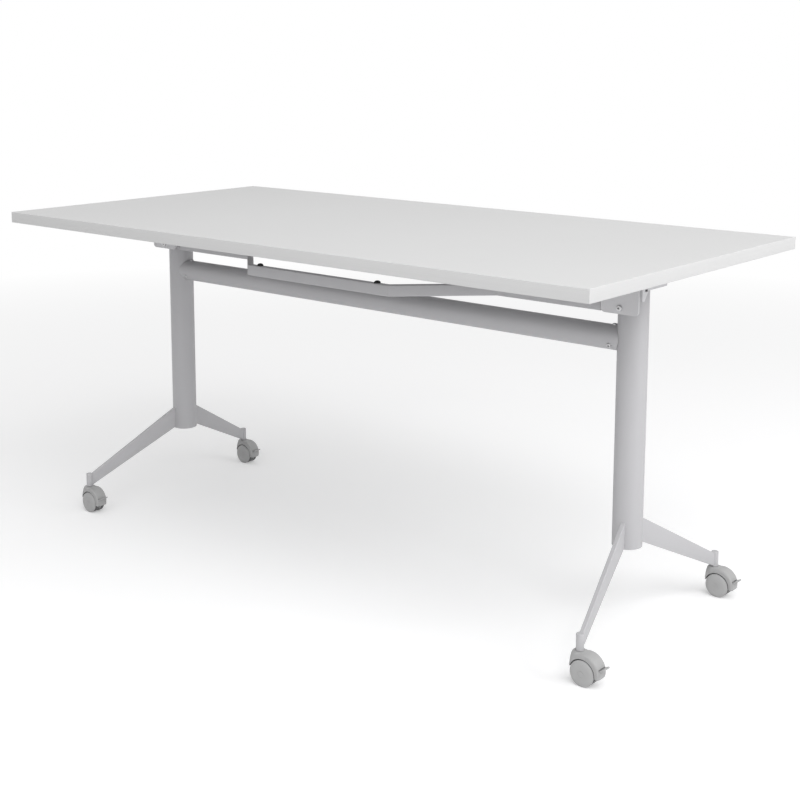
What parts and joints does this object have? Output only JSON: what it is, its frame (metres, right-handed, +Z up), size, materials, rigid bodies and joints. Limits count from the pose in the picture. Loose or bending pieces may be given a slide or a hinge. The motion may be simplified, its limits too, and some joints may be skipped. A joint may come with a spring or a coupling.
{
  "type": "flip top training table",
  "caption": "Rectangular flip top training table on two round columns with a cross beam, blade feet on braked twin wheel casters and a release bar under the front of the tilting top.",
  "frame": {"origin": "on the floor under the middle of the top", "axes": "+X along the table to the right of a person sitting at it, +Y away from that person, +Z up"},
  "size_m": [1.6, 0.8, 0.755],
  "materials": {
    "laminate": "pale grey melamine on chipboard, fine matt texture",
    "edge_band": "pale grey edge strip, satin",
    "silver_paint": "silver grey powder coat, fine matt texture",
    "bare_steel": "zinc plated steel",
    "caster_grey": "moulded grey nylon, satin",
    "wheel_grey": "moulded grey nylon, matt",
    "black_rubber": "moulded rubber",
    "dark_plastic": "moulded plug"
  },
  "bodies": {
    "base": {"column_left": "silver_paint", "column_head_left": "silver_paint", "latch_quadrant_left": "bare_steel", "column_plug_left": "dark_plastic", "beam_spigot_left": "bare_steel", "column_right": "silver_paint", "column_head_right": "silver_paint", "latch_quadrant_right": "bare_steel", "column_plug_right": "dark_plastic", "beam_spigot_right": "bare_steel", "beam": "silver_paint", "foot_front_left": "silver_paint", "caster_socket_front_left": "silver_paint", "foot_front_right": "silver_paint", "caster_socket_front_right": "silver_paint", "foot_rear_left": "silver_paint", "caster_socket_rear_left": "silver_paint", "foot_rear_right": "silver_paint", "caster_socket_rear_right": "silver_paint"},
    "top": {"tabletop_board": "laminate", "edge_band_front": "edge_band", "edge_band_rear": "edge_band", "edge_band_left": "edge_band", "edge_band_right": "edge_band", "tilt_bracket_left": "silver_paint", "stop_bolt_left": "bare_steel", "pivot_axle_left": "bare_steel", "return_spring_left": "bare_steel", "tilt_bracket_right": "silver_paint", "stop_bolt_right": "bare_steel", "pivot_axle_right": "bare_steel", "return_spring_right": "bare_steel"},
    "release": {"release_bar": "silver_paint", "release_bumper_left": "black_rubber", "latch_pawl_left": "bare_steel", "release_bumper_right": "black_rubber", "latch_pawl_right": "bare_steel"},
    "caster_front_left": {"caster_hood_front_left": "caster_grey", "caster_axle_front_left": "bare_steel"},
    "wheel_front_front_left": {"caster_wheel_front_front_left": "wheel_grey"},
    "wheel_rear_front_left": {"caster_wheel_rear_front_left": "wheel_grey"},
    "pedal_front_left": {"brake_pedal_front_left": "caster_grey"},
    "caster_front_right": {"caster_hood_front_right": "caster_grey", "caster_axle_front_right": "bare_steel"},
    "wheel_front_front_right": {"caster_wheel_front_front_right": "wheel_grey"},
    "wheel_rear_front_right": {"caster_wheel_rear_front_right": "wheel_grey"},
    "pedal_front_right": {"brake_pedal_front_right": "caster_grey"},
    "caster_rear_left": {"caster_hood_rear_left": "caster_grey", "caster_axle_rear_left": "bare_steel"},
    "wheel_front_rear_left": {"caster_wheel_front_rear_left": "wheel_grey"},
    "wheel_rear_rear_left": {"caster_wheel_rear_rear_left": "wheel_grey"},
    "pedal_rear_left": {"brake_pedal_rear_left": "caster_grey"},
    "caster_rear_right": {"caster_hood_rear_right": "caster_grey", "caster_axle_rear_right": "bare_steel"},
    "wheel_front_rear_right": {"caster_wheel_front_rear_right": "wheel_grey"},
    "wheel_rear_rear_right": {"caster_wheel_rear_rear_right": "wheel_grey"},
    "pedal_rear_right": {"brake_pedal_rear_right": "caster_grey"}
  },
  "joints": [
    {"name": "top_flip", "type": "hinge", "parent": "base", "child": "top", "pos_m": [0, 0.012, 0.705], "axis": [-1, 0, 0], "range_deg": [0, 90]},
    {"name": "bar_release", "type": "hinge", "parent": "top", "child": "release", "pos_m": [0, -0.039, 0.654], "axis": [-1, 0, 0], "range_deg": [-2.2, 20], "stiffness_Nm_per_rad": 1, "springref_deg": -2.2},
    {"name": "caster_swivel_front_left", "type": "hinge", "parent": "base", "child": "caster_front_left", "pos_m": [-0.714, -0.264, 0.062], "axis": [0, 0, 1], "continuous": true},
    {"name": "wheel_roll_front_front_left", "type": "hinge", "parent": "caster_front_left", "child": "wheel_front_front_left", "pos_m": [-0.701, -0.264, 0.025], "axis": [0, 1, 0], "continuous": true},
    {"name": "wheel_roll_rear_front_left", "type": "hinge", "parent": "caster_front_left", "child": "wheel_rear_front_left", "pos_m": [-0.701, -0.264, 0.025], "axis": [0, 1, 0], "continuous": true},
    {"name": "brake_press_front_left", "type": "hinge", "parent": "caster_front_left", "child": "pedal_front_left", "pos_m": [-0.67166, -0.264, 0.03437], "axis": [0, 1, 0], "range_deg": [0, 15]},
    {"name": "caster_swivel_front_right", "type": "hinge", "parent": "base", "child": "caster_front_right", "pos_m": [0.714, -0.264, 0.062], "axis": [0, 0, 1], "continuous": true},
    {"name": "wheel_roll_front_front_right", "type": "hinge", "parent": "caster_front_right", "child": "wheel_front_front_right", "pos_m": [0.727, -0.264, 0.025], "axis": [0, 1, 0], "continuous": true},
    {"name": "wheel_roll_rear_front_right", "type": "hinge", "parent": "caster_front_right", "child": "wheel_rear_front_right", "pos_m": [0.727, -0.264, 0.025], "axis": [0, 1, 0], "continuous": true},
    {"name": "brake_press_front_right", "type": "hinge", "parent": "caster_front_right", "child": "pedal_front_right", "pos_m": [0.75634, -0.264, 0.03437], "axis": [0, 1, 0], "range_deg": [0, 15]},
    {"name": "caster_swivel_rear_left", "type": "hinge", "parent": "base", "child": "caster_rear_left", "pos_m": [-0.714, 0.264, 0.062], "axis": [0, 0, 1], "continuous": true},
    {"name": "wheel_roll_front_rear_left", "type": "hinge", "parent": "caster_rear_left", "child": "wheel_front_rear_left", "pos_m": [-0.701, 0.264, 0.025], "axis": [0, 1, 0], "continuous": true},
    {"name": "wheel_roll_rear_rear_left", "type": "hinge", "parent": "caster_rear_left", "child": "wheel_rear_rear_left", "pos_m": [-0.701, 0.264, 0.025], "axis": [0, 1, 0], "continuous": true},
    {"name": "brake_press_rear_left", "type": "hinge", "parent": "caster_rear_left", "child": "pedal_rear_left", "pos_m": [-0.67166, 0.264, 0.03437], "axis": [0, 1, 0], "range_deg": [0, 15]},
    {"name": "caster_swivel_rear_right", "type": "hinge", "parent": "base", "child": "caster_rear_right", "pos_m": [0.714, 0.264, 0.062], "axis": [0, 0, 1], "continuous": true},
    {"name": "wheel_roll_front_rear_right", "type": "hinge", "parent": "caster_rear_right", "child": "wheel_front_rear_right", "pos_m": [0.727, 0.264, 0.025], "axis": [0, 1, 0], "continuous": true},
    {"name": "wheel_roll_rear_rear_right", "type": "hinge", "parent": "caster_rear_right", "child": "wheel_rear_rear_right", "pos_m": [0.727, 0.264, 0.025], "axis": [0, 1, 0], "continuous": true},
    {"name": "brake_press_rear_right", "type": "hinge", "parent": "caster_rear_right", "child": "pedal_rear_right", "pos_m": [0.75634, 0.264, 0.03437], "axis": [0, 1, 0], "range_deg": [0, 15]}
  ]
}
